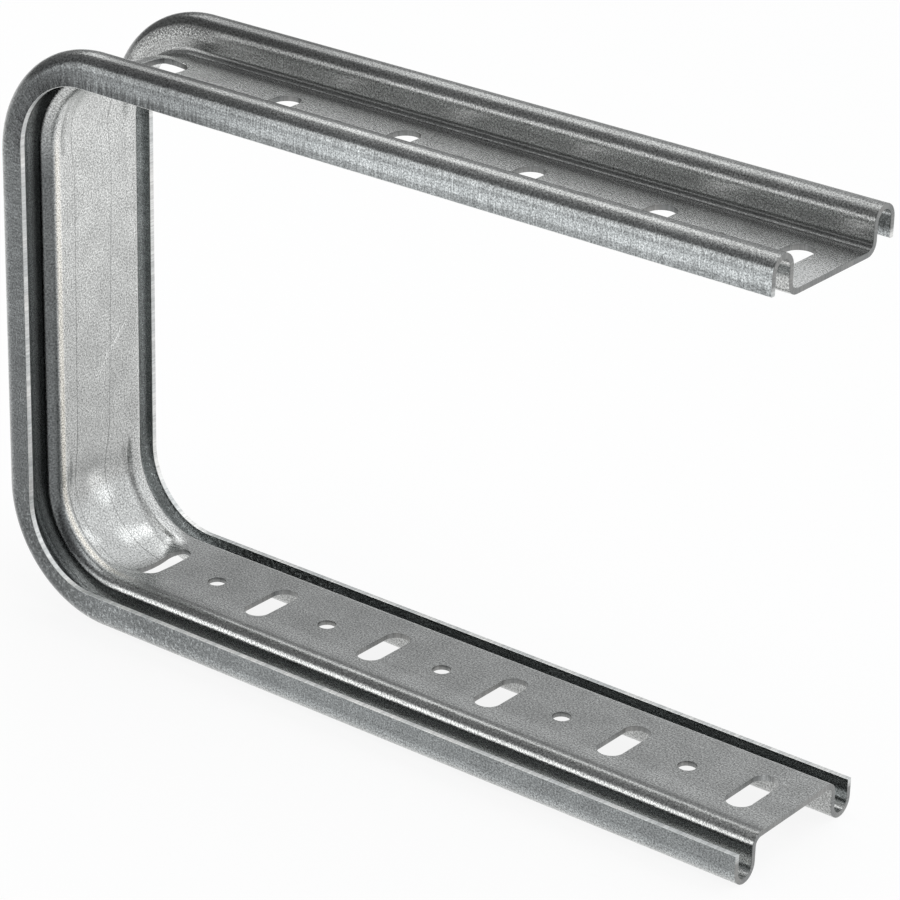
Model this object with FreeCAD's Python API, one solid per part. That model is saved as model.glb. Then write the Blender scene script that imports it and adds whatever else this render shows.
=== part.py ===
import FreeCAD, Part
import math
import os

# Cable tray bracket, millimetres, +Z up. One strip of zinc-coated sheet steel is rolled to a
# wide channel with beaded rims, then bent twice to a C that stands open towards +X.
# The origin is at the middle of the footprint, on the surface that the rims stand on.

# Strip section
sheet = 1.5                  # thickness of the steel
overall_width = 52.0         # over the two rims
section_depth = 12.0         # from the web's tray side to the outermost line of the rims
rim_inside_radius = 2.9      # half the groove between a wall and its lip
corner_inside_radius = 2.0   # between the web and a wall, on the hollow side
lip_setback = 2.4            # how far the lips' cut edges stop short of the web's tray side

# The C, seen from the side
overall_height = 167.0       # from the lowest to the highest rim line
bend_radius = 22.0           # both bends, on the web's tray side
rim_bend_radius = 35.0       # the rims' outermost lines, which are drawn in a little in a bend
lip_bend_radius = 15.0       # the lips' cut edges, which are drawn outwards in a bend

# The web is pressed away from the tray side where it bends
dish_depth = 2.2
dish_margin = 1.0            # flat left beside the dish, up to the web's rounded edge
dish_leg_run = 14.0          # how far it reaches past the bend, up or down the leg
dish_arm_run = 7.0           # and along the arm
dish_rise = 20.0             # length over which it sinks in or comes out
dish_spans = 10              # spans of the loft along the dish

# Punching of the two arms
slot_count = 6
slot_pitch = 40.0
slot_length = 18.5           # across the arm
slot_width = 7.5             # along the arm
first_slot = 36.0            # centre, from the back of the bracket
end_margin = 13.0            # from the last slot's centre to the arm's cut end
hole_diameter = 5.0          # round holes, midway between the slots

# Worked out from the sizes above
rim_outside_radius = rim_inside_radius + sheet
corner_outside_radius = corner_inside_radius + sheet
corner_level = section_depth - corner_outside_radius
web_bend_centre = bend_radius + section_depth
bend_arc = bend_radius * math.pi / 2
arm_length = first_slot + slot_pitch * (slot_count - 1) + end_margin
back = -arm_length / 2
rim_centre = overall_width / 2 - rim_outside_radius
web_edge = rim_centre - rim_inside_radius - corner_outside_radius
lip_end = section_depth - lip_setback
dish_half_width = web_edge - dish_margin
up = FreeCAD.Vector(0, 0, 1)
forward = FreeCAD.Vector(1, 0, 0)
across = FreeCAD.Vector(0, 1, 0)


def arc(centre, radius, start, end):
    """An arc of the section, as three points (y, q): y across the strip, q inwards from the
    rims' outermost line. Angles are counted from +Y towards the tray side."""
    angles = [math.radians(a) for a in (start, (start + end) / 2, end)]
    return [(centre[0] + radius * math.cos(a), centre[1] + radius * math.sin(a)) for a in angles]


def face_across_leg(outline, height):
    """A face across the leg, at a height. The outline's items are lines (2 points) and arcs (3)."""
    edges = []
    for points in outline:
        p = [FreeCAD.Vector(back + q, y, height) for y, q in points]
        edges.append(Part.Arc(*p).toShape() if len(p) == 3 else Part.LineSegment(*p).toShape())
    return Part.Face(Part.Wire(edges))


def swept(outline, turn):
    """The outline along the lower half of the C. Turn is the distance of the bend's centre from
    the back and from the bottom."""
    start = face_across_leg(outline, turn)
    leg = start.extrude(up * (overall_height / 2 - turn))
    bend = start.revolve(FreeCAD.Vector(back + turn, 0, turn), across, -90)
    end = start.copy()
    end.rotate(FreeCAD.Vector(back + turn, 0, turn), across, -90)
    arm = end.extrude(forward * (arm_length - turn))
    return [leg, bend, arm]


def web_outline():
    """The web with its two rounded edges, cut across."""
    outer = arc((web_edge, corner_level), corner_outside_radius, 0, 90)
    inner = arc((web_edge, corner_level), corner_inside_radius, 90, 0)
    mirrored = [[(-y, q) for y, q in reversed(points)] for points in (outer, inner)]
    return [
        outer,
        [outer[-1], mirrored[0][0]],
        mirrored[0],
        [mirrored[0][-1], mirrored[1][0]],
        mirrored[1],
        [mirrored[1][-1], inner[0]],
        inner,
        [inner[-1], outer[0]],
    ]


def rim_outline(side):
    """A rim cut across: half a tube that is open towards the tray side."""
    centre = (side * rim_centre, rim_outside_radius)
    outside = arc(centre, rim_outside_radius, 0, -180)
    groove = arc(centre, rim_inside_radius, -180, 0)
    return [outside, [outside[-1], groove[0]], groove, [groove[-1], outside[0]]]


def bent_line(y, level, radius, step):
    """Points of a line along the lower half of the C at one level of the section: the leg's
    middle, its bend's start, middle and end, and the arm's cut end. A step of -1 turns them round."""
    turn = level + radius
    points = [FreeCAD.Vector(back + level, y, overall_height / 2)]
    for angle in (0, math.pi / 4, math.pi / 2):
        x = back + turn - radius * math.cos(angle)
        points.append(FreeCAD.Vector(x, y, turn - radius * math.sin(angle)))
    points.append(FreeCAD.Vector(back + arm_length, y, level))
    return points[::step]


def flat_side(y, outer, inner):
    """A flat L of sheet between two bent lines, each given as (level, radius)."""
    lines = [bent_line(y, *outer, 1), bent_line(y, *inner, -1)]
    edges = []
    for line, other in (lines, reversed(lines)):
        edges.append(Part.LineSegment(line[0], line[1]).toShape())
        edges.append(Part.Arc(*line[1:4]).toShape())
        edges.append(Part.LineSegment(line[3], line[4]).toShape())
        edges.append(Part.LineSegment(line[4], other[0]).toShape())
    return Part.Face(Part.Wire(edges)).extrude(across * sheet)


def walls_and_lips():
    """The flat parts of the section that stand upright: two walls and two lips."""
    rim_line = (rim_outside_radius, rim_bend_radius - rim_outside_radius)
    corner_line = (corner_level, web_bend_centre - corner_level)
    cut_edge = (lip_end, lip_bend_radius)
    wall = web_edge + corner_inside_radius
    lip = overall_width / 2 - sheet
    walls = [flat_side(y, rim_line, corner_line) for y in (wall, -wall - sheet)]
    return walls + [flat_side(y, rim_line, cut_edge) for y in (lip, -lip - sheet)]


def smooth(t):
    """0 to 1 with flat ends, as t goes from 0 to 1."""
    t = min(max(t, 0.0), 1.0)
    return t * t * (3 - 2 * t)


def dish_section(along, level):
    """One section of the dish, as a lens: rounded towards the hollow side, square on the other.
    Along is measured on the web's tray side, from the leg's end of the bend."""
    angle = min(max(along / bend_arc, 0.0), 1.0) * math.pi / 2
    above = max(-along, 0.0)
    beside = max(along - bend_arc, 0.0)
    sink = smooth((along + dish_leg_run) / dish_rise)
    rise = smooth((bend_arc + dish_arm_run - along) / dish_rise)
    floor = level - dish_depth * sink * rise
    top = level + sheet / 2

    def point(y, q):
        x = web_bend_centre - (web_bend_centre - q) * math.cos(angle) + beside
        z = web_bend_centre - (web_bend_centre - q) * math.sin(angle) + above
        return FreeCAD.Vector(back + x, y, z)

    low, high = -dish_half_width, dish_half_width
    bottom = Part.Arc(point(low, level), point(0, floor), point(high, level)).toShape()
    square = Part.makePolygon([point(high, level), point(high, top), point(low, top), point(low, level)])
    return Part.Wire([bottom, *square.Edges])


def dish(level):
    """A lens-shaped body along the bend, through its sections at even steps."""
    length = bend_arc + dish_leg_run + dish_arm_run
    steps = [-dish_leg_run + length * i / dish_spans for i in range(1, dish_spans)]
    return Part.makeLoft([dish_section(along, level) for along in steps], True, False)


def round_punch(x, y, diameter):
    return Part.makeCylinder(diameter / 2, overall_height, FreeCAD.Vector(x, y, 0))


def slot_punch(x):
    """A punch with round ends that passes through the webs of both arms."""
    straight = slot_length - slot_width
    block = Part.makeBox(slot_width, straight, overall_height)
    block.translate(FreeCAD.Vector(x - slot_width / 2, -straight / 2, 0))
    return block.fuse([round_punch(x, y, slot_width) for y in (-straight / 2, straight / 2)])


def punches():
    """The row of slots of both arms, with a round hole between each two slots."""
    centres = [back + first_slot + slot_pitch * i for i in range(slot_count)]
    slots = [slot_punch(x) for x in centres]
    holes = [round_punch(x + slot_pitch / 2, 0, hole_diameter) for x in centres[:-1]]
    return slots + holes


def tray_bracket():
    parts = swept(web_outline(), web_bend_centre)
    parts += swept(rim_outline(1), rim_bend_radius) + swept(rim_outline(-1), rim_bend_radius)
    channel = parts[0].fuse(parts[1:] + walls_and_lips()).removeSplitter()
    lower = channel.fuse(dish(section_depth - sheet)).cut(dish(section_depth))
    upper = lower.mirror(up * (overall_height / 2), up)
    return lower.fuse(upper).removeSplitter().cut(punches())


os.makedirs("parts", exist_ok=True)
bracket = tray_bracket()
bracket.exportStep("parts/tray_bracket.step")
print("tray_bracket", bracket.ShapeType, len(bracket.Solids), "solid, valid", bracket.isValid())
print("volume", round(bracket.Volume), "mm3, box", bracket.BoundBox)
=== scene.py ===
# %% [markdown]
# # A bracket for a cable tray, rolled and bent from one strip of galvanised steel
# The real bracket starts as a flat, zinc-coated strip. Rollers turn it into a wide channel with
# a rounded bead along each side, a press punches the slots, and a bending tool folds the channel
# twice into a C. This lesson makes it in the same order, because a strip that is drawn as a
# strip gets its rounded edges, its even thickness and its stretched and squeezed bends right.
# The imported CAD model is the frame: it gives the place and the size of everything below.

# %% Load the frame
import math

import bmesh
import bpy
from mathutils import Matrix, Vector


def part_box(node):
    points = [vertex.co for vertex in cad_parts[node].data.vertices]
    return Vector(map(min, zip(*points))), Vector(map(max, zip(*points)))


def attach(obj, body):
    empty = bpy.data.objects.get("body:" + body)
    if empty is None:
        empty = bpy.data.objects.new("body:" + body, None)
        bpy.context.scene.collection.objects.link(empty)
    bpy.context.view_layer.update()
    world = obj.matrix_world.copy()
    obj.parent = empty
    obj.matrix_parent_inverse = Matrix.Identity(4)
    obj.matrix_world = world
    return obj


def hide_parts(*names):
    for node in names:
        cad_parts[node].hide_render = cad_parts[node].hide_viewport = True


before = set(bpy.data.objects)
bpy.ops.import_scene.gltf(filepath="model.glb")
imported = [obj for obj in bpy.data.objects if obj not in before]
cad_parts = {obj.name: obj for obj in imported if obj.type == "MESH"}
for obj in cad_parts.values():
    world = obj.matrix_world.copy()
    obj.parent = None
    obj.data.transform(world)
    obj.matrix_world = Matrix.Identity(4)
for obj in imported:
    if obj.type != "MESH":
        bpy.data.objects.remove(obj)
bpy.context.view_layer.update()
low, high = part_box("tray_bracket")
print("the bracket is", [round(s * 1000, 1) for s in high - low], "mm")

# %% [markdown]
# ## Sizes of the strip
# Everything follows from a few sizes of the section and of the two bends. The strip is drawn as
# a surface without thickness that runs in the middle of the steel, and gets its thickness
# later, so each rounded part has one radius, measured to the middle of the sheet.

# %% Sizes in metres
MM = 0.001
sheet = 1.5 * MM
section_depth = 12.0 * MM        # from the web's tray side to the outermost line of the rims
corner_radius = 2.75 * MM        # between the web and a wall
rim_radius = 3.65 * MM           # the bead along each side
lip_setback = 2.4 * MM           # how far the lips stop short of the web's tray side
bend_radius = 22.0 * MM          # both bends, on the web's tray side
rim_bend_radius = 35.0 * MM      # the rims' outermost lines in a bend
lip_bend_radius = 22.0 * MM      # the lips' cut edges in a bend

web_level = section_depth - sheet / 2
rim_centre = high.y - sheet / 2 - rim_radius
web_edge = rim_centre - rim_radius - corner_radius
corner_level = web_level - corner_radius
rim_level = rim_radius + sheet / 2
lip_level = section_depth - lip_setback
bend_reach = bend_radius + section_depth
bend_arc = bend_radius * math.pi / 2
leg_middle = (low.z + high.z) / 2
bend_centre = Vector((low.x + bend_reach, 0, low.z + bend_reach))
print("half the flat web is", round(web_edge / MM, 2), "mm wide")


# %% Helpers for modelling by hand
def edit(piece):
    """Starts edit mode on one piece, with nothing else selected."""
    bpy.ops.object.select_all(action="DESELECT")
    piece.select_set(True)
    bpy.context.view_layer.objects.active = piece
    bpy.ops.object.mode_set(mode="EDIT")


def leave_edit():
    """Goes back to object mode, where whole pieces are handled."""
    bpy.ops.object.mode_set(mode="OBJECT")


def keep_in_mesh(piece):
    """Puts the piece's place into its mesh, so that its object sits at the origin."""
    bpy.ops.object.select_all(action="DESELECT")
    piece.select_set(True)
    bpy.context.view_layer.objects.active = piece
    bpy.ops.object.transform_apply(location=True, rotation=True, scale=True)


def draw_points(move, count=1):
    """Extrudes the selected point along a straight line, in equal steps."""
    for _ in range(count):
        bpy.ops.mesh.extrude_vertices_move(TRANSFORM_OT_translate={"value": Vector(move) / count})


def draw_out(move, count=1):
    """Extrudes the selected chain of edges, in equal steps."""
    for _ in range(count):
        bpy.ops.mesh.extrude_region_move(TRANSFORM_OT_translate={"value": Vector(move) / count})


def finish_modifier(piece, kind, **settings):
    """Adds a modifier, sets it and applies it."""
    bpy.context.view_layer.objects.active = piece
    modifier = piece.modifiers.new(kind.lower(), kind)
    for name, value in settings.items():
        setattr(modifier, name, value)
    bpy.ops.object.modifier_apply(modifier=modifier.name)


# %% [markdown]
# ## Half the section
# A roll former shapes the strip from its middle outwards: flat web, rounded corner, wall, bead
# and lip. The section could be traced from a list of points. Here it is drawn as the rollers
# do it: a plane is melted to one point, the point is pulled along the straight parts and spun
# round the rounded ones, and each part is as long as the sizes say.

# %% Draw half the section at the lower arm's cut end
bpy.ops.object.select_all(action="DESELECT")
bpy.ops.mesh.primitive_plane_add(size=sheet, location=(high.x, 0, low.z + web_level))
bracket = bpy.context.object
bracket.name = "galvanised_bracket"
keep_in_mesh(bracket)
edit(bracket)
bpy.ops.mesh.select_all(action="SELECT")
bpy.ops.mesh.merge(type="CENTER")

mark_offset = 12.0 * MM          # the bending tool's marks, from the middle of the web
mark_band = 1.6 * MM             # the web gets finer steps this far on both sides of a mark
corner_steps = 6
rim_steps = 14
draw_points((0, mark_offset - mark_band, 0), 8)
draw_points((0, 2 * mark_band, 0), 8)
draw_points((0, web_edge - mark_offset - mark_band, 0), 2)
bpy.ops.mesh.spin(
    steps=corner_steps, angle=math.pi / 2, axis=(1, 0, 0),
    center=(high.x, web_edge, low.z + corner_level),
)
draw_points((0, 0, rim_level - corner_level), 2)
bpy.ops.mesh.spin(
    steps=rim_steps, angle=-math.pi, axis=(1, 0, 0),
    center=(high.x, rim_centre, low.z + rim_level),
)
draw_points((0, 0, lip_level - rim_level), 4)
leave_edit()
tip = bracket.data.vertices[-1].co
print("the lip ends at y", round(tip.y / MM, 3), "and z", round(tip.z / MM, 3))

# %% [markdown]
# ## From the section to the C
# A bender holds the channel and folds it over a round former. In Blender a curve could carry
# the section along, but it gives little say in where the steps fall. So the chain of edges is
# pulled out straight for the arm, spun round the bend's centre, and pulled out again for half
# of the leg. Short steps go where the steel is deformed, in the bend and just beside it.

# %% Pull out the arm, spin the bend, pull out half of the leg
arm_worked = 12.0 * MM           # finer steps beside the bend, on the arm
leg_worked = 16.0 * MM           # and on the leg
bend_steps = 75
edit(bracket)
bpy.ops.mesh.select_all(action="SELECT")
draw_out((bend_centre.x + arm_worked - high.x, 0, 0))
draw_out((-arm_worked, 0, 0), 16)
bpy.ops.mesh.spin(steps=bend_steps, angle=-math.pi / 2, axis=(0, 1, 0), center=bend_centre)
draw_out((0, 0, leg_worked), 16)
draw_out((0, 0, leg_middle - bend_centre.z - leg_worked))
leave_edit()
top = max(v.co.z for v in bracket.data.vertices)
print(len(bracket.data.polygons), "faces, up to z", round(top / MM, 3), "mm")

# %% [markdown]
# ## What the bending does to the section
# Folding a channel stretches its outside and squeezes its inside. On this bracket the web is
# pressed away from the tray, the tool leaves two narrow marks beside that dish, and the lips
# are drawn outwards. All this follows the strip, so a point is first read in the strip's own
# terms: how far along it lies, how far across, and how far in from the rims' outer line. The rims
# and the lips don't keep the bend's centre, and each turns with a radius of its own.


# %% Read a point in the strip's own terms
def strip_place(co):
    """(along, inwards, direction inwards) of a point of the lower half. Along is 0 where the
    leg ends and the bend starts, and grows towards the arm's end."""
    if co.x >= bend_centre.x:
        return bend_arc + co.x - bend_centre.x, co.z - low.z, Vector((0, 0, 1))
    if co.z >= bend_centre.z:
        return bend_centre.z - co.z, co.x - low.x, Vector((1, 0, 0))
    inwards = Vector((bend_centre.x - co.x, 0, bend_centre.z - co.z))
    angle = math.atan2(inwards.z, inwards.x)
    return bend_radius * angle, bend_reach - inwards.length, inwards.normalized()


print("the bend is", round(bend_arc / MM, 2), "mm long on the web's tray side")


# %% How far the dish and the marks have sunk in
def smooth(t):
    """0 to 1 with flat ends, as t goes from 0 to 1."""
    t = min(max(t, 0.0), 1.0)
    return t * t * (3 - 2 * t)


dish_depth = 2.2 * MM
dish_half_width = web_edge - 1.0 * MM
dish_leg_run = 14.0 * MM
dish_arm_run = 7.0 * MM
dish_leg_rise = 20.0 * MM        # the dish comes up slowly on the leg
dish_arm_rise = 9.0 * MM         # and steeply at the arm, across the first slot
dish_bow = 8.0 * MM              # it ends that much earlier at its sides than in its middle


def press(along, end, rise):
    """How far a pressing that ends here on the arm has sunk in, from 0 to 1."""
    return smooth((along + dish_leg_run) / dish_leg_rise) * smooth((end - along) / rise)


dish_length = dish_leg_run + bend_arc + dish_arm_run
print("the dish is", round(dish_length / MM, 1), "mm long")


# %% Lines that turn with a radius of their own
def line_in_bend(direction, level, radius):
    """How far in a line along the strip lies in the bend, where it turns with its own radius."""
    straight = bend_reach - level
    turn = straight - radius
    from_leg = straight / max(direction.x, 1e-6)
    from_arm = straight / max(direction.z, 1e-6)
    if from_leg * direction.z < turn:
        return bend_reach - from_leg
    if from_arm * direction.x < turn:
        return bend_reach - from_arm
    slant = turn * (direction.x + direction.z)
    return bend_reach - slant - math.sqrt(slant ** 2 - 2 * turn ** 2 + radius ** 2)


halfway_round = Vector((1, 0, 1)).normalized()
rim_shift = line_in_bend(halfway_round, 0, rim_bend_radius)
print("halfway round the bend the rims are moved inwards by", round(rim_shift / MM, 2), "mm")

# %% Press the dish, sink the tool's marks, draw the lips outwards
mark_depth = 0.4 * MM
mark_half_width = 1.4 * MM
mark_end = bend_arc - 4.0 * MM   # the marks end before the dish does
mark_rise = 6.0 * MM


def worked_in_bend(co):
    """Where the bending tool leaves a point of the strip."""
    along, inwards, direction = strip_place(co)
    across = abs(co.y)
    moved = 0.0
    if across < dish_half_width and inwards > rim_level:
        to_side = (across / dish_half_width) ** 2
        dish_end = bend_arc + dish_arm_run - dish_bow * to_side
        moved -= dish_depth * press(along, dish_end, dish_arm_rise) * (1 - to_side)
    from_mark = abs(across - mark_offset) / mark_half_width
    if from_mark < 1 and inwards > rim_level:
        moved -= mark_depth * press(along, mark_end, mark_rise) * (1 - from_mark ** 2) ** 2
    if across > web_edge and 0 < along < bend_arc:
        edge_level = lip_level if across > rim_centre else corner_level
        drawn_in = line_in_bend(direction, 0, rim_bend_radius)
        edge_share = min(max((inwards - rim_level) / (edge_level - rim_level), 0), 1)
        drawn_out = line_in_bend(direction, lip_level, lip_bend_radius) - lip_level
        moved += drawn_in * (1 - edge_share)
        moved += drawn_out * edge_share * (across > rim_centre)
    return co + direction * moved


for vertex in bracket.data.vertices:
    vertex.co = worked_in_bend(vertex.co)
print("the dish is", round(dish_depth / MM, 2), "mm deep")

# %% [markdown]
# ## The whole C and its thickness
# The other half of the width and the upper half of the C are mirror images. The mirrored parts
# are merged into one surface first, its faces are turned the same way, and only then does the
# surface get the steel's thickness, half of it on each side.

# %% Mirror and thicken
bpy.ops.object.empty_add(location=(0, 0, leg_middle))
mirror_plane = bpy.context.object
merge_distance = 0.02 * MM
finish_modifier(bracket, "MIRROR", use_axis=(False, True, False), merge_threshold=merge_distance)
finish_modifier(
    bracket, "MIRROR", use_axis=(False, False, True), mirror_object=mirror_plane,
    merge_threshold=merge_distance,
)
bpy.data.objects.remove(mirror_plane)
edit(bracket)
bpy.ops.mesh.select_all(action="SELECT")
bpy.ops.mesh.normals_make_consistent(inside=False)
leave_edit()
sheet_finish = bpy.data.materials.new("galvanised sheet")
cut_finish = bpy.data.materials.new("sheared edge")
bracket.data.materials.append(sheet_finish)
bracket.data.materials.append(cut_finish)
finish_modifier(
    bracket, "SOLIDIFY", thickness=sheet, offset=0, use_even_offset=True, material_offset_rim=1,
)
print(len(bracket.data.polygons), "faces after thickening")

# %% [markdown]
# ## Slots and round holes
# A row of cross slots takes the tray's bolts, with a small round hole between each two slots.
# They could be drawn into the surface from the start, but that would break up its even faces.
# So they are punched, as on the real strip. A slot's punch is a cylinder whose two halves are
# pulled apart. It is modelled once, copied along the arm, and cut through both arms at once.

# %% The punches: sizes and helpers
slot_count = 6
slot_pitch = 40.0 * MM
slot_length = 18.5 * MM
slot_width = 7.5 * MM
first_slot = low.x + 36.0 * MM
hole_diameter = 5.0 * MM
punch_sides = 48


def punch(name, diameter, x):
    """A round punch through both arms."""
    bpy.ops.object.select_all(action="DESELECT")
    bpy.ops.mesh.primitive_cylinder_add(
        vertices=punch_sides, radius=diameter / 2, depth=2 * (high.z - low.z),
        location=(x, 0, leg_middle), rotation=(0, 0, math.pi / punch_sides),
    )
    tool = bpy.context.object
    tool.name = name
    tool.data.materials.append(cut_finish)
    keep_in_mesh(tool)
    return tool


def pull_apart(tool, length):
    """Moves the two halves of a round punch apart along Y, to a slot of this length."""
    half_gap = (length - slot_width) / 2
    for side in (-1, 1):
        edit(tool)
        bpy.ops.mesh.select_all(action="DESELECT")
        points = bmesh.from_edit_mesh(tool.data)
        for vertex in points.verts:
            vertex.select = vertex.co.y * side > 0
        points.select_flush_mode()
        bpy.ops.transform.translate(value=(0, side * half_gap, 0))
        leave_edit()


def copy_along(tool, count):
    """Copies of a punch, one pitch apart, each with its own mesh."""
    copies = [tool]
    for step in range(1, count):
        other = tool.copy()
        other.data = tool.data.copy()
        other.location.x = step * slot_pitch
        bpy.context.collection.objects.link(other)
        copies.append(other)
    return copies


print("a slot is", round(slot_length / MM, 1), "by", round(slot_width / MM, 1), "mm")

# %% Punch both arms
slot_punch = punch("slot_punch", slot_width, first_slot)
pull_apart(slot_punch, slot_length)
hole_punch = punch("hole_punch", hole_diameter, first_slot + slot_pitch / 2)
punches = copy_along(slot_punch, slot_count) + copy_along(hole_punch, slot_count - 1)
bpy.ops.object.select_all(action="DESELECT")
for tool in punches:
    tool.select_set(True)
bpy.context.view_layer.objects.active = slot_punch
bpy.ops.object.join()
finish_modifier(bracket, "BOOLEAN", object=slot_punch, operation="DIFFERENCE", solver="EXACT")
bpy.data.objects.remove(slot_punch)
print(len(bracket.data.polygons), "faces after punching")

# %% [markdown]
# ## Broken edges
# No sheared edge is perfectly sharp: the shear rolls one side over a little and the zinc rounds
# the other. A tiny bevel catches the light there. The edges to bevel are exactly those where
# the sheet's finish meets the cut finish, so they are found by material, not by angle.

# %% Bevel where the sheet meets a cut face
edge_round = 0.14 * MM
edit(bracket)
bpy.ops.mesh.select_all(action="DESELECT")
bpy.ops.mesh.select_mode(type="EDGE")
points = bmesh.from_edit_mesh(bracket.data)
for line in points.edges:
    line.select = len({face.material_index for face in line.link_faces}) == 2
bmesh.update_edit_mesh(bracket.data)
bpy.ops.mesh.bevel(offset=edge_round, segments=2, affect="EDGES", clamp_overlap=False, material=1)
bpy.ops.mesh.select_mode(type="VERT")
leave_edit()
sharpest_smooth_angle = math.radians(35)
bpy.ops.object.shade_smooth_by_angle(angle=sharpest_smooth_angle)
finish_modifier(bracket, "WEIGHTED_NORMAL", keep_sharp=True)
bracket.data.calc_loop_triangles()
print(len(bracket.data.loop_triangles), "triangles in the finished bracket")

# %% [markdown]
# ## Where a pattern lies on the strip
# Rolling streaks, scratches and the wrinkles of the bend run along or across the strip, also
# round the bends. A pattern that reads the piece's plain X, Y and Z would run straight on there.
# So the piece gets a UV map of the flat strip that it was rolled from, in metres: U along the
# strip, from the middle of the leg, and V across it, from the middle of the web.


# %% Unroll the strip into a UV map
corner_arc = corner_radius * math.pi / 2
wall_height = corner_level - rim_level
rim_arc = rim_radius * math.pi


def across_strip(across, inwards):
    """How far across the flat strip a point lies, from the middle of the web."""
    wall = web_edge + corner_radius
    if across > rim_centre and inwards > rim_level:
        return web_edge + corner_arc + wall_height + rim_arc + inwards - rim_level
    if inwards < rim_level and across > wall - sheet:
        turn = math.atan2(rim_level - inwards, rim_centre - across)
        return web_edge + corner_arc + wall_height + rim_radius * turn
    if across <= web_edge:
        return across
    if inwards < corner_level:
        return web_edge + corner_arc + corner_level - inwards
    turn = math.atan2(across - web_edge, inwards - corner_level)
    return web_edge + corner_radius * turn


def flat_place(co):
    """Where a point lies on the flat strip, in metres, from the middle of the leg."""
    upper = co.z > leg_middle
    lower_twin = Vector((co.x, co.y, 2 * leg_middle - co.z)) if upper else co
    along, inwards, _ = strip_place(lower_twin)
    along += leg_middle - bend_centre.z
    across = across_strip(abs(co.y), inwards)
    return (along if upper else -along), math.copysign(across, co.y)


flat_strip = bracket.data.uv_layers.new(name="flat strip")
places = [flat_place(v.co) for v in bracket.data.vertices]
for loop in bracket.data.loops:
    flat_strip.data[loop.index].uv = places[loop.vertex_index]
print("the strip was", round(2 * max(v for u, v in places) / MM, 1), "mm wide before rolling")

# %% [markdown]
# ## Finish
# The zinc is never one even grey. It has a fine grain, soft clouds, long streaks from the
# rollers, short ones across the lips, and scratches. A picture of zinc could be laid on the
# bracket, but it would bring its own light along. So each pattern is a small node group that
# gives values between 0 and 1, and both finishes can use it. All of them read the flat strip in
# millimetres, which makes their sizes easy to think about.


# %% Helpers for node trees
def add(tree, kind, inputs=None, **settings):
    """Adds a node, sets it, and fills or links its inputs, given by name or number."""
    made = tree.nodes.new(kind)
    for name, value in settings.items():
        setattr(made, name, value)
    for socket, value in (inputs or {}).items():
        if isinstance(value, bpy.types.NodeSocket):
            tree.links.new(value, made.inputs[socket])
        else:
            made.inputs[socket].default_value = value
    return made


def calculate(tree, operation, first, second):
    """One step of arithmetic between two values."""
    return add(tree, "ShaderNodeMath", {0: first, 1: second}, operation=operation).outputs[0]


def fade(tree, value, start, end, low_value=0.0, high_value=1.0):
    """Changes softly from the low to the high value while the input goes from start to end."""
    names = {"Value": value, "From Min": start, "From Max": end, "To Min": low_value, "To Max": high_value}
    return add(tree, "ShaderNodeMapRange", names, interpolation_type="SMOOTHSTEP").outputs["Result"]


def new_effect(name, inputs, outputs):
    """A node group with its sockets, given as (name, kind, value) and as names."""
    effect = bpy.data.node_groups.new(name, "ShaderNodeTree")
    for label, kind, value in inputs:
        socket = effect.interface.new_socket(label, in_out="INPUT", socket_type=kind)
        socket.default_value = value
    for label in outputs:
        effect.interface.new_socket(label, in_out="OUTPUT", socket_type="NodeSocketFloat")
    given = effect.nodes.new("NodeGroupInput").outputs
    return effect, given


def close_effect(effect, results):
    """Links a group's results to its output sockets."""
    end = effect.nodes.new("NodeGroupOutput")
    for label, value in results.items():
        effect.links.new(value, end.inputs[label])


# %% [markdown]
# ## Zinc grain
# Molten zinc sets in small crystals, and seen from near they glitter as fine specks, with
# larger and softer clouds below them. A voronoi texture draws crystals with hard sides, as on
# a thick coat. This coat is thin and rolled, so a noise with much fine detail fits better.


# %% Zinc grain: fine specks and soft clouds
def noise(tree, place, scale, detail, roughness):
    """A noise that reads the given place."""
    names = {"Vector": place, "Scale": scale, "Detail": detail, "Roughness": roughness}
    return add(tree, "ShaderNodeTexNoise", names).outputs["Fac"]


VECTOR, FLOAT = "NodeSocketVector", "NodeSocketFloat"
grain_size = 0.5                 # millimetres, as all sizes of patterns
cloud_size = 9.0
zinc_grain, given = new_effect("zinc grain", [("Place", VECTOR, (0, 0, 0))], ["Specks", "Clouds"])
fine = noise(zinc_grain, given["Place"], 1 / grain_size, 4, 0.8)
coarse = noise(zinc_grain, given["Place"], 1 / cloud_size, 3, 0.6)
close_effect(zinc_grain, {
    "Specks": fade(zinc_grain, fine, 0.32, 0.68),
    "Clouds": fade(zinc_grain, coarse, 0.35, 0.65),
})
print(zinc_grain.name, "has specks of", grain_size, "mm and clouds of", cloud_size, "mm")

# %% [markdown]
# ## Streaks
# Rollers draw the zinc out along the strip, and the folding of the lips leaves fine lines
# across them. A wave texture would repeat too evenly. A noise never repeats, and when the place
# is divided by one length along and by another across, its blots are stretched to streaks.


# %% Streaks: a noise that is stretched along or across the strip
def vector_step(tree, operation, first, second):
    """One step of arithmetic between two vectors, as the node itself."""
    return add(tree, "ShaderNodeVectorMath", {0: first, 1: second}, operation=operation)


streaks, given = new_effect(
    "streaks",
    [("Place", VECTOR, (0, 0, 0)), ("Along", FLOAT, 60.0), ("Across", FLOAT, 0.3)],
    ["Streaks"],
)
stretch = add(streaks, "ShaderNodeCombineXYZ", {"X": given["Along"], "Y": given["Across"], "Z": 1.0})
stretched = vector_step(streaks, "DIVIDE", given["Place"], stretch.outputs[0])
close_effect(streaks, {"Streaks": noise(streaks, stretched.outputs[0], 1.0, 3, 0.6)})
print(streaks.name, "has", len(streaks.nodes), "nodes")

# %% [markdown]
# ## Line marks
# Scribed lines, scratches and the prints of a tool are straight marks on the sheet. They could
# be painted on an image, but an image is only as sharp as its pixels. This group works out how
# far a place lies from a line between two points. The mark is full on the line and has faded
# out at its half width.

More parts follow.
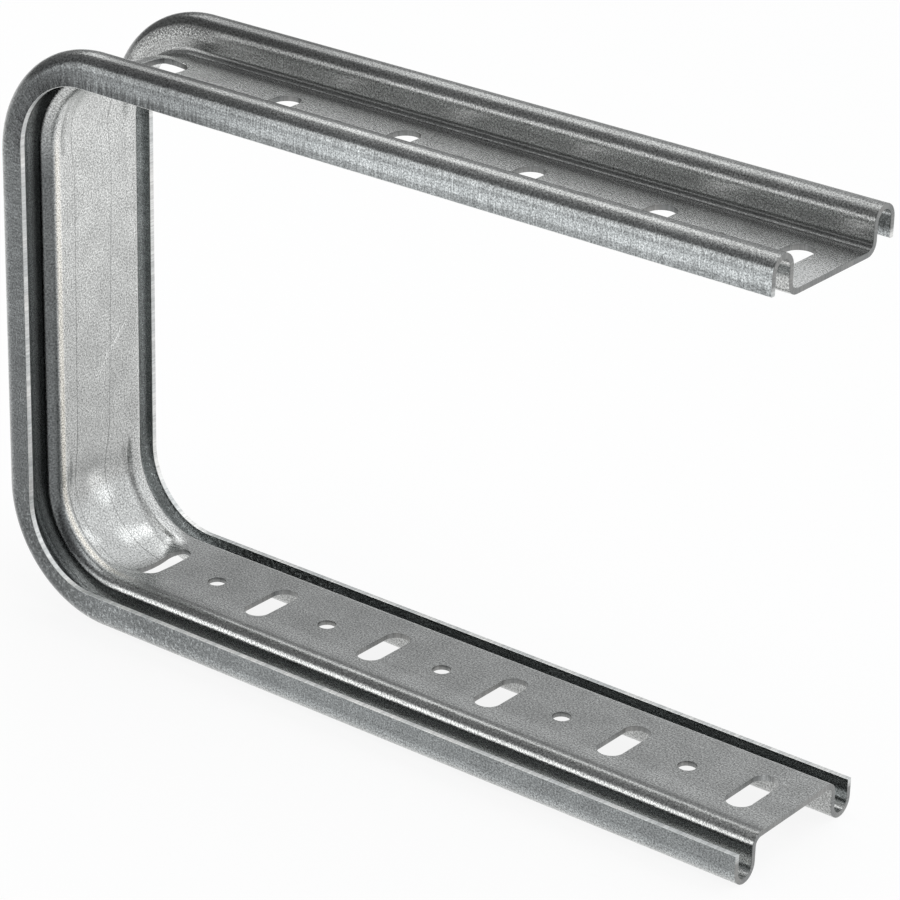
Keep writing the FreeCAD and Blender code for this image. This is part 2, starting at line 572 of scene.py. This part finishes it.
# %% Line mark: a straight mark between two places of the strip
line_mark, given = new_effect(
    "line mark",
    [("Place", VECTOR, (0, 0, 0)), ("From", VECTOR, (0, 0, 0)), ("To", VECTOR, (1, 0, 0)),
     ("Half Width", FLOAT, 0.2)],
    ["Mask"],
)
way = vector_step(line_mark, "SUBTRACT", given["To"], given["From"]).outputs["Vector"]
gone = vector_step(line_mark, "SUBTRACT", given["Place"], given["From"]).outputs["Vector"]
dot = vector_step(line_mark, "DOT_PRODUCT", gone, way).outputs["Value"]
square = vector_step(line_mark, "DOT_PRODUCT", way, way).outputs["Value"]
gone_share = add(line_mark, "ShaderNodeMath", {0: dot, 1: square}, operation="DIVIDE", use_clamp=True)
nearest = add(line_mark, "ShaderNodeVectorMath", {0: way, "Scale": gone_share.outputs[0]}, operation="SCALE")
distance = vector_step(line_mark, "DISTANCE", gone, nearest.outputs["Vector"]).outputs["Value"]
close_effect(line_mark, {"Mask": fade(line_mark, distance, given["Half Width"], 0.0)})
print(line_mark.name, "has", len(line_mark.nodes), "nodes")

# %% [markdown]
# ## The two finishes
# The sheet and its cut faces are two materials, since the shears left the cut faces without
# zinc. A metal shows little but what it mirrors, and its tone says how much of that comes back.
# Each effect makes the tone a little lighter or darker, in one line of its own, so that any of
# them can be changed without a look at the others.


# %% Helpers for the finishes
def strip_place_in_mm(tree):
    """The place on the flat strip, in millimetres, read from the UV map."""
    flat = add(tree, "ShaderNodeUVMap", uv_map="flat strip").outputs["UV"]
    scaled = add(tree, "ShaderNodeVectorMath", {0: flat, "Scale": 1 / MM}, operation="SCALE")
    return scaled.outputs["Vector"]


def toned(tree, tone, mask, at_zero, at_one):
    """The tone times a factor that follows the mask."""
    names = {"Value": mask, "To Min": at_zero, "To Max": at_one}
    factor = add(tree, "ShaderNodeMapRange", names).outputs["Result"]
    return calculate(tree, "MULTIPLY", tone, factor)


def effect(tree, group, **inputs):
    """A node group in a material, with its inputs."""
    names = {label.replace("_", " "): value for label, value in inputs.items()}
    return add(tree, "ShaderNodeGroup", names, node_tree=group).outputs


def marks(tree, place, lines):
    """One mask for several line marks, each given as (from, to, half width)."""
    total = 0.0
    for start, end, half_width in lines:
        mark = effect(
            tree, line_mark, Place=place, From=(*start, 0), To=(*end, 0), Half_Width=half_width,
        )["Mask"]
        total = calculate(tree, "MAXIMUM", mark, total)
    return total


def all_of(tree, *masks):
    """Where every mask is at work."""
    total = masks[0]
    for mask in masks[1:]:
        total = calculate(tree, "MULTIPLY", total, mask)
    return total


def tinted(tree, tone, mask, plain_tint, masked_tint):
    """A colour of this tone, with one tint where the mask is 0 and another where it is 1."""
    tint = add(
        tree, "ShaderNodeMix", {0: mask, 6: (*plain_tint, 1), 7: (*masked_tint, 1)}, data_type="RGBA",
    )
    colour = add(tree, "ShaderNodeVectorMath", {0: tint.outputs[2], "Scale": tone}, operation="SCALE")
    return colour.outputs["Vector"]


# %% [markdown]
# ## The marks of this one bracket
# Two lines are scribed along the leg, the rollers left faint ones on the arms, a tool pressed
# the web beside the dish, a few spots of the web get a painted highlight, and bolts and hands
# left scratches.
# Scratches could be strewn at random, but then they would be another bracket's. Each of these
# is set where the photo shows it, as (from, to, half width), in millimetres of the flat strip:
# first along, from the leg's middle to the upper arm, then across, from the web's middle to the
# far side.

# %% The marks, one list for each kind
scribed_lines = (
    ((-86, -9.6), (80, -7.6), 0.17),
    ((-86, 2.6), (80, 7.6), 0.14),
)
roller_lines = (
    ((-299, -6.0), (-92, -5.2), 0.12),
    ((-260, 3.4), (-100, 2.6), 0.10),
    ((-299, 10.4), (-120, 10.0), 0.12),
    ((110, 5.0), (299, 5.4), 0.12),
)
dark_scratches = (
    ((42.2, 12.9), (26.5, -8.9), 0.13),
    ((25.0, -9.0), (28.5, -7.6), 0.2),
    ((-27.5, -3.0), (-27.0, 5.0), 0.12),
    ((-291.1, 8.1), (-295.1, 7.6), 0.16),
)
bright_scratches = (
    ((-8.1, 11.6), (-14.5, 5.4), 0.26),
    ((-9.4, 11.4), (-21.5, -1.1), 0.16),
    ((-14.5, 4.6), (-22.5, -0.4), 0.18),
    ((238, 2.0), (247, 6.5), 0.12),
    ((262, -1.0), (276, 4.0), 0.10),
    ((-288.2, 9.7), (-293.4, 14.1), 0.20),
    ((-289.6, 8.8), (-291.4, 7.8), 0.50),
)
tool_marks = (
    ((47.5, -11.6), (74, -12.8), 1.5),
    ((-47, 10.4), (-58, 12.0), 1.3),
    ((-58, 12.0), (-68, 11.4), 1.3),
    ((-68, 11.4), (-79, 9.0), 1.1),
)
smooth_highlight_spots = (
    ((-54.5, -0.5), (-58.5, 2.0), 5.0),
    ((-70.5, 1.0), (-71.5, 7.0), 4.0),
    ((-66.0, -11.0), (-68.5, -9.5), 3.2),
)
scratch_count = len(dark_scratches) + len(bright_scratches)
print(len(scribed_lines), "scribed lines and", scratch_count, "scratches on the sheet")

# %% [markdown]
# ## Where things are on the sheet
# Web, corners, rims and lips each have their own tone, and most of these tones are painted light
# and shade: each part is made brighter or darker for the side of the studio it mirrors. They could
# be separate materials, but a material ends in a hard line. A mask that fades over a few
# millimetres doesn't. The masks are told where they start and end on the flat strip. The next
# cell prints where the parts of the section and the bends lie on it.

# %% Galvanised sheet: the parts of the strip
sheet_finish.use_nodes = True
tree = sheet_finish.node_tree
place = strip_place_in_mm(tree)
parts = add(tree, "ShaderNodeSeparateXYZ", {"Vector": place}).outputs
along, across = parts["X"], parts["Y"]
off_middle = calculate(tree, "ABSOLUTE", across, 0)
from_leg_middle = calculate(tree, "ABSOLUTE", along, 0)
on_leg = fade(tree, from_leg_middle, 92, 70)
on_web = fade(tree, off_middle, 16.5, 14.5)
on_lips = fade(tree, off_middle, 31, 35.5)
by_cut_edge = fade(tree, off_middle, 35, 39.5)
on_lower_arm = fade(tree, along, -76, -100)
on_upper_arm = fade(tree, along, 76, 100)
ends_across = {"web": web_edge, "corner": web_edge + corner_arc}
ends_across["wall"] = ends_across["corner"] + wall_height
ends_across["rim"] = ends_across["wall"] + rim_arc
ends_across["lip"] = ends_across["rim"] + lip_level - rim_level
for name, end in ends_across.items():
    print("across the strip, the", name, "ends at", round(end / MM, 1), "mm")
bend_start = leg_middle - bend_centre.z
print("along it, the bends are at", [round(s / MM, 1) for s in (bend_start, bend_start + bend_arc)], "mm")

# %% Galvanised sheet: places that get painted light and shade
near_corner_painted_shade = all_of(
    tree, fade(tree, across, -14.8, -16.4), fade(tree, across, -27, -24), fade(tree, along, -88, -64),
    fade(tree, along, 68, 40),
)
near_edge_painted_highlight = all_of(
    tree, fade(tree, across, -12.8, -14.3), fade(tree, across, -16.2, -15.0),
    fade(tree, along, -100, -76), fade(tree, along, 62, 45),
)
leg_top_painted_sheen = all_of(tree, on_leg, on_web, fade(tree, along, -45, 50))
leg_bottom_painted_shade = all_of(tree, on_leg, on_web, fade(tree, along, 50, -45))
far_wall_below_painted_shade = all_of(tree, on_lower_arm, fade(tree, across, 15, 17), fade(tree, across, 28, 25))
far_wall_above_painted_shade = all_of(
    tree, fade(tree, along, 50, 62), fade(tree, across, 17, 19.5), fade(tree, across, 31, 27),
)
upper_bend_side_painted_shade = all_of(
    tree, fade(tree, off_middle, 22, 25), fade(tree, along, 40, 62), fade(tree, along, 180, 105),
)
lower_bend_side = all_of(
    tree, fade(tree, off_middle, 29, 34), fade(tree, along, -40, -60), fade(tree, along, -150, -110),
)
upper_bend_edge = all_of(tree, fade(tree, along, 44, 54), fade(tree, along, 150, 90), by_cut_edge)
crinkled_wall = all_of(
    tree, fade(tree, along, 62, 70), fade(tree, along, 94, 82),
    fade(tree, across, 21.5, 22.5), fade(tree, across, 25.5, 24.5),
)
print("the sheet has", len(tree.nodes), "nodes for its places")


# %% Galvanised sheet: bands that run along the strip
def band(tree, start, end, softness):
    """A band along the strip, between two places across it, that fades at both sides."""
    middle, half = (start + end) / 2, abs(end - start) / 2
    from_middle = calculate(tree, "ABSOLUTE", calculate(tree, "SUBTRACT", across, middle), 0)
    return fade(tree, from_middle, half + softness / 2, half - softness / 2)


# These bands are painted reflections: bright and dark lines along the strip that stand in for
# the studio mirrored in the zinc. Each band has its part of the strip, its start and end across,
# its softness, and the factor that makes it brighter or darker.
painted_reflection_bands = (
    (on_leg, -22.5, -31.5, 1.5, 1.5),
    (on_leg, 19.5, 30.0, 1.5, 1.3),
    (on_leg, 33.0, 45.0, 2.0, 2.1),
    (on_lower_arm, -7.5, -12.5, 2.5, 1.15),
    (on_lower_arm, -14.0, -17.3, 1.2, 0.58),
    (on_lower_arm, -18.2, -21.0, 0.9, 1.35),
    (on_lower_arm, -35.5, -45.0, 1.0, 0.76),
    (on_upper_arm, -25.5, -31.8, 1.2, 0.58),
    (on_upper_arm, -32.2, -34.8, 0.9, 0.80),
    (on_upper_arm, -35.8, -38.2, 0.9, 1.30),
    (on_upper_arm, -38.2, -45.0, 0.9, 0.85),
    (on_upper_arm, 14.6, 15.6, 0.5, 1.5),
    (on_upper_arm, 16.0, 19.6, 0.5, 0.40),
    (on_upper_arm, 22.5, 26.0, 1.6, 1.30),
    (on_upper_arm, 27.5, 33.0, 1.5, 0.72),
)
print(len(painted_reflection_bands), "bands from the rollers")

# %% [markdown]
# ## The sheet's patterns
# Now each pattern is put where it belongs: streaks everywhere, short lines across the lips,
# wrinkles where the upper bend squeezed the lips, pits beside the lower bend, and crinkled zinc
# on one wall. The specks are smoothed out at a few spots of the web, which also get a painted
# highlight in the tone, and, in part, on the lips.

# %% Galvanised sheet: patterns
grain = effect(tree, zinc_grain, Place=place)
rolled = effect(tree, streaks, Place=place, Along=70.0, Across=0.3)["Streaks"]
drawn = fade(tree, effect(tree, streaks, Place=place, Along=0.5, Across=4.5)["Streaks"], 0.34, 0.66)
folds = fade(tree, effect(tree, streaks, Place=place, Along=0.85, Across=7.0)["Streaks"], 0.42, 0.62)
pits = fade(tree, effect(tree, streaks, Place=place, Along=1.0, Across=1.3)["Streaks"], 0.50, 0.62)
lip_streaks = all_of(tree, drawn, on_lips, fade(tree, along, -60, 60, 0.3, 1.0))
wrinkles = all_of(tree, folds, upper_bend_edge)
pitted = all_of(tree, pits, lower_bend_side)
crinkles = all_of(tree, grain["Specks"], crinkled_wall)
scribed = marks(tree, place, scribed_lines)
rolled_in = marks(tree, place, roller_lines)
dark_marks = marks(tree, place, dark_scratches)
bright_marks = marks(tree, place, bright_scratches)
pressed = marks(tree, place, tool_marks)
smoothed_with_highlight = marks(tree, place, smooth_highlight_spots)
rough_zinc = calculate(tree, "SUBTRACT", 1.0, smoothed_with_highlight)
rougher_off_lips = fade(tree, off_middle, 30, 35, 1.0, 0.45)
roughness_mask = calculate(tree, "MULTIPLY", rough_zinc, rougher_off_lips)
raised_specks = calculate(tree, "MULTIPLY", grain["Specks"], roughness_mask)
print("the sheet has", len(tree.nodes), "nodes with its patterns")

# %% [markdown]
# ## The sheet's colour
# The web of the upper arm is the brightest part, the lips of the leg and the corner nearest to
# the camera are the darkest. That is the studio round the real bracket, mirrored in the zinc,
# which no one can see. The lamps give most of it, and the rest is painted light and shade in the
# tone. Zinc is a neutral grey; the painted shade on the lips and in the dark corner is a little
# bluer, and the painted highlight beside it a little warmer.

# %% Galvanised sheet: colour
sheet_tone = 0.60
tone = toned(tree, sheet_tone, grain["Specks"], 0.32, 1.66)
tone = toned(tree, tone, grain["Clouds"], 0.93, 1.07)
tone = toned(tree, tone, rolled, 0.82, 1.18)
# Painted shade: the lips are darkened, the leg's lips most, for the darker studio they mirror.
tone = toned(tree, tone, on_lips, 1.0, 0.60)
tone = toned(tree, tone, all_of(tree, on_lips, on_leg), 1.0, 0.46)
# Painted sheen and shade: the leg's web is lighter at the top and darker at the bottom.
tone = toned(tree, tone, leg_top_painted_sheen, 1.0, 1.15)
tone = toned(tree, tone, leg_bottom_painted_shade, 1.0, 0.86)
# Painted shade: the corner nearest the camera is darkened for the dark studio it mirrors.
tone = toned(tree, tone, near_corner_painted_shade, 1.0, 0.29)
# Painted light and shade: the lower arm's web is darkened and the upper arm's web is lightened.
tone = toned(tree, tone, all_of(tree, on_lower_arm, on_web), 1.0, 0.70)
tone = toned(tree, tone, all_of(tree, on_upper_arm, on_web), 1.0, 1.60)
# Painted shade: the far walls inside the channel are darkened, on both arms.
tone = toned(tree, tone, far_wall_below_painted_shade, 1.0, 0.8)
tone = toned(tree, tone, far_wall_above_painted_shade, 1.0, 0.60)
# Painted shade: the rims and lips beside both bends are darkened.
tone = toned(tree, tone, upper_bend_side_painted_shade, 1.0, 0.60)
tone = toned(tree, tone, lower_bend_side, 1.0, 0.78)
# Painted highlight: a bright, warmer line beside the near corner, where the zinc mirrors a bright part of
# the studio.
tone = toned(tree, tone, near_edge_painted_highlight, 1.0, 1.35)
# Painted reflections: each band lightens or darkens its strip of the sheet.
for where, start, end, softness, factor in painted_reflection_bands:
    in_band = all_of(tree, where, band(tree, start, end, softness))
    tone = toned(tree, tone, in_band, 1.0, factor)
tone = toned(tree, tone, lip_streaks, 0.90, 1.5)
# Painted shade in the creases of the wrinkles; their relief is the bump further down.
tone = toned(tree, tone, wrinkles, 1.0, 0.50)
tone = toned(tree, tone, pitted, 1.0, 1.7)
# Painted glints on the specks of the crinkled wall; the crinkles also have a real bump.
tone = toned(tree, tone, crinkles, 1.0, 2.2)
tone = toned(tree, tone, scribed, 1.0, 0.45)
tone = toned(tree, tone, rolled_in, 1.0, 1.25)
tone = toned(tree, tone, dark_marks, 1.0, 0.6)
tone = toned(tree, tone, bright_marks, 1.0, 1.5)
tone = toned(tree, tone, pressed, 1.0, 0.72)
# Painted highlight on the smoothed spots; their smoother zinc is the roughness and relief.
tone = toned(tree, tone, smoothed_with_highlight, 1.0, 1.5)
neutral, cool, blue, warm = (1.0, 1.0, 1.0), (0.985, 1.0, 0.985), (0.95, 1.0, 1.01), (1.03, 1.0, 0.92)
# The blue tint goes with the painted shade on the lips and in the near corner, the warm tint with the
# painted highlight beside it.
blue_in_painted_shade = calculate(tree, "MAXIMUM", near_corner_painted_shade, on_lips)
zinc_colour = tinted(tree, tone, blue_in_painted_shade, cool, blue)
painted_highlight_colour = tinted(tree, tone, near_edge_painted_highlight, neutral, warm)
names = {0: near_edge_painted_highlight, 6: zinc_colour, 7: painted_highlight_colour}
colour = add(tree, "ShaderNodeMix", names, data_type="RGBA").outputs[2]
print("the sheet has", len(tree.nodes), "nodes with its colour")

# %% [markdown]
# ## The sheet's relief
# Specks, wrinkles and scratches are a few hundredths of a millimetre high or deep, and the
# wrinkles of the bend a quarter. Modelled, they would need millions of faces. A bump node
# tilts the light instead, which is enough as they never reach the outline. Heights are in
# millimetres, and below 0 they go into the sheet.

# %% Galvanised sheet: relief
heights = (
    (raised_specks, 0.007),
    (lip_streaks, 0.03),
    (rolled, 0.005),
    (wrinkles, -0.24),
    (pitted, 0.06),
    (crinkles, 0.08),
    (scribed, -0.04),
    (dark_marks, -0.03),
    (bright_marks, -0.02),
)
height = 0.0
for pattern, rise in heights:
    height = calculate(tree, "ADD", calculate(tree, "MULTIPLY", pattern, rise), height)
relief = add(tree, "ShaderNodeBump", {"Height": height, "Strength": 1.0, "Distance": MM})
smoothest, roughest = 0.18, 0.27
roughness = fade(tree, raised_specks, 0, 1, smoothest, roughest)
shader = tree.nodes["Principled BSDF"]
shader.inputs["Metallic"].default_value = 1
tree.links.new(colour, shader.inputs["Base Color"])
tree.links.new(roughness, shader.inputs["Roughness"])
tree.links.new(relief.outputs["Normal"], shader.inputs["Normal"])
print(sheet_finish.name, "has", len(heights), "kinds of relief")

# %% [markdown]
# ## Sheared edge
# The cut faces of the slots, the holes and the two ends are bare steel, coarser than the zinc.
# The long edges of the lips were cut before the strip was rolled, and the rollers have dulled
# them. The last slot of the lower arm is torn, with bright rough steel. Each kind could have a
# material of its own, but one is enough, with a mask for the lips' edges and one for the tear.

# %% Sheared edge: colour, relief and shader
cut_tone = 0.70
cut_roughness = 0.34
cut_relief = 0.02
torn_edges = (((-283.5, 8.4), (-290.0, 8.2), 1.5),)
cut_finish.use_nodes = True
tree = cut_finish.node_tree
place = strip_place_in_mm(tree)
grain = effect(tree, zinc_grain, Place=place)
parts = add(tree, "ShaderNodeSeparateXYZ", {"Vector": place}).outputs
off_middle = calculate(tree, "ABSOLUTE", parts["Y"], 0)
on_lip_edge = fade(tree, off_middle, 37.5, 39.5)
torn = all_of(tree, grain["Specks"], marks(tree, place, torn_edges))
tone = toned(tree, cut_tone, grain["Specks"], 0.75, 1.2)
tone = toned(tree, tone, on_lip_edge, 0.38, 1.0)
tone = toned(tree, tone, torn, 1.0, 3.0)
tone = toned(tree, tone, grain["Clouds"], 0.85, 1.1)
colour = tinted(tree, tone, grain["Clouds"], (0.97, 1.0, 1.0), (1.0, 1.0, 0.98))
height = calculate(tree, "MULTIPLY", grain["Specks"], cut_relief)
relief = add(tree, "ShaderNodeBump", {"Height": height, "Strength": 1.0, "Distance": MM})
shader = tree.nodes["Principled BSDF"]
shader.inputs["Metallic"].default_value = 1
shader.inputs["Roughness"].default_value = cut_roughness
tree.links.new(colour, shader.inputs["Base Color"])
tree.links.new(relief.outputs["Normal"], shader.inputs["Normal"])
print(cut_finish.name, "has", len(tree.nodes), "nodes")

# %% [markdown]
# ## Camera
# The photo was taken from a little above, with a long lens, so the far ends of the arms look
# nearly as wide as the near ones. A camera could be aimed by eye. This one was fitted instead:
# its place, turn and lens were changed until the bracket's outline fell on the photo's.

# %% Camera
camera_place = (0.55244, -0.69610, 0.47730)
camera_turn = (65.534, -1.319, 38.402)
camera_lens = 149.25
bpy.ops.object.camera_add(location=camera_place, rotation=[math.radians(a) for a in camera_turn])
camera = bpy.context.object
camera.data.lens = camera_lens
camera.data.clip_start = 0.05
camera.data.clip_end = 50
bpy.context.scene.camera = camera
print("the camera is", round(camera.location.length, 2), "m away, with a lens of", camera_lens, "mm")

# %% [markdown]
# ## Floor
# The bracket stands on white paper, so evenly lit that it has no horizon and hardly a shadow.
# Lamps strong enough for that would also flood the bracket. So the paper glows in white where
# the camera sees it, itself or in a mirror image, and the rest of its look is lit paper, which
# keeps a faint shadow. All other light meets plain paper and is thrown back as in a real studio.

# %% Floor
floor_size = 12.0
paper_white = 0.93
paper_roughness = 0.9
glow_share = 0.88
bpy.ops.mesh.primitive_plane_add(size=floor_size, location=(0, 0, low.z))
floor = bpy.context.object
floor.name = "floor"
keep_in_mesh(floor)
paper = bpy.data.materials.new("white paper")
paper.use_nodes = True
tree = paper.node_tree
lit_paper = tree.nodes["Principled BSDF"]
lit_paper.inputs["Base Color"].default_value = (paper_white, paper_white, paper_white, 1)
lit_paper.inputs["Roughness"].default_value = paper_roughness
glow = add(tree, "ShaderNodeEmission", {"Strength": 1.0})
ray = add(tree, "ShaderNodeLightPath").outputs
seen = calculate(tree, "MAXIMUM", ray["Is Camera Ray"], ray["Is Glossy Ray"])
seen = calculate(tree, "MAXIMUM", seen, ray["Is Transmission Ray"])
share = calculate(tree, "MULTIPLY", seen, glow_share)
names = {"Fac": share, 1: lit_paper.outputs["BSDF"], 2: glow.outputs["Emission"]}
blend = add(tree, "ShaderNodeMixShader", names)
tree.links.new(blend.outputs["Shader"], tree.nodes["Material Output"].inputs["Surface"])
floor.data.materials.append(paper)
print("the floor lies at z", round(low.z / MM, 3), "mm")

# %% [markdown]
# ## Light
# Zinc is a dull mirror, so it looks as bright as the things round it. In the photo they are
# bright above on the right and dark on the left. A single lamp would give one hot spot on black
# metal. A sky that is graded from dark to bright gives every side of the bracket something to
# mirror, and three large soft boxes add the broad light on the webs and along the rims. The
# camera doesn't see the boxes.

# %% Sky
bright_side = Vector((0.46, 0.54, 0.71)).normalized()
sky_levels = ((0.0, 0.22), (0.10, 0.24), (0.42, 0.56), (0.80, 1.20), (1.0, 1.25))
scene = bpy.context.scene
scene.view_settings.view_transform = "Standard"
world = bpy.data.worlds.new("studio")
scene.world = world
world.use_nodes = True
tree = world.node_tree
direction = add(tree, "ShaderNodeTexCoord").outputs["Generated"]
towards_light = vector_step(tree, "DOT_PRODUCT", direction, bright_side).outputs["Value"]
grading = add(tree, "ShaderNodeValToRGB", {"Fac": towards_light})
grading.color_ramp.interpolation = "EASE"
stops = grading.color_ramp.elements
while len(stops) < len(sky_levels):
    stops.new(0.5)
for stop, (position, light) in zip(stops, sky_levels):
    stop.position = position
    stop.color = (light, light * 1.01, light * 1.02, 1)
sky = tree.nodes["Background"]
sky.inputs["Strength"].default_value = 1.0
tree.links.new(grading.outputs["Color"], sky.inputs["Color"])
print("the sky goes from", sky_levels[0][1], "to", sky_levels[-1][1], "in", len(stops), "stops")


# %% Soft boxes
def soft_box(name, place, size, power):
    """A large lamp that faces the bracket."""
    way = Vector((0, 0, 0.08)) - Vector(place)
    bpy.ops.object.light_add(type="AREA", location=place, rotation=way.to_track_quat("-Z", "Y").to_euler())
    lamp = bpy.context.object
    lamp.name = name
    lamp.data.shape = "RECTANGLE"
    lamp.data.size, lamp.data.size_y = size
    lamp.data.energy = power
    lamp.visible_camera = False
    print(name, "gives", power, "W from", round(way.length, 2), "m away")
    return lamp


soft_box("overhead box", (0.05, -0.1, 1.35), (1.1, 1.1), 3.2)
soft_box("left box", (-0.75, 0.42, 1.12), (0.6, 0.7), 2.0)
soft_box("front box", (-0.92, -1.31, 0.36), (1.1, 0.75), 3.2)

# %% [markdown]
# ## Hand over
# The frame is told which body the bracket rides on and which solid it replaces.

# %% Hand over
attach(bracket, "root")
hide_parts("tray_bracket")
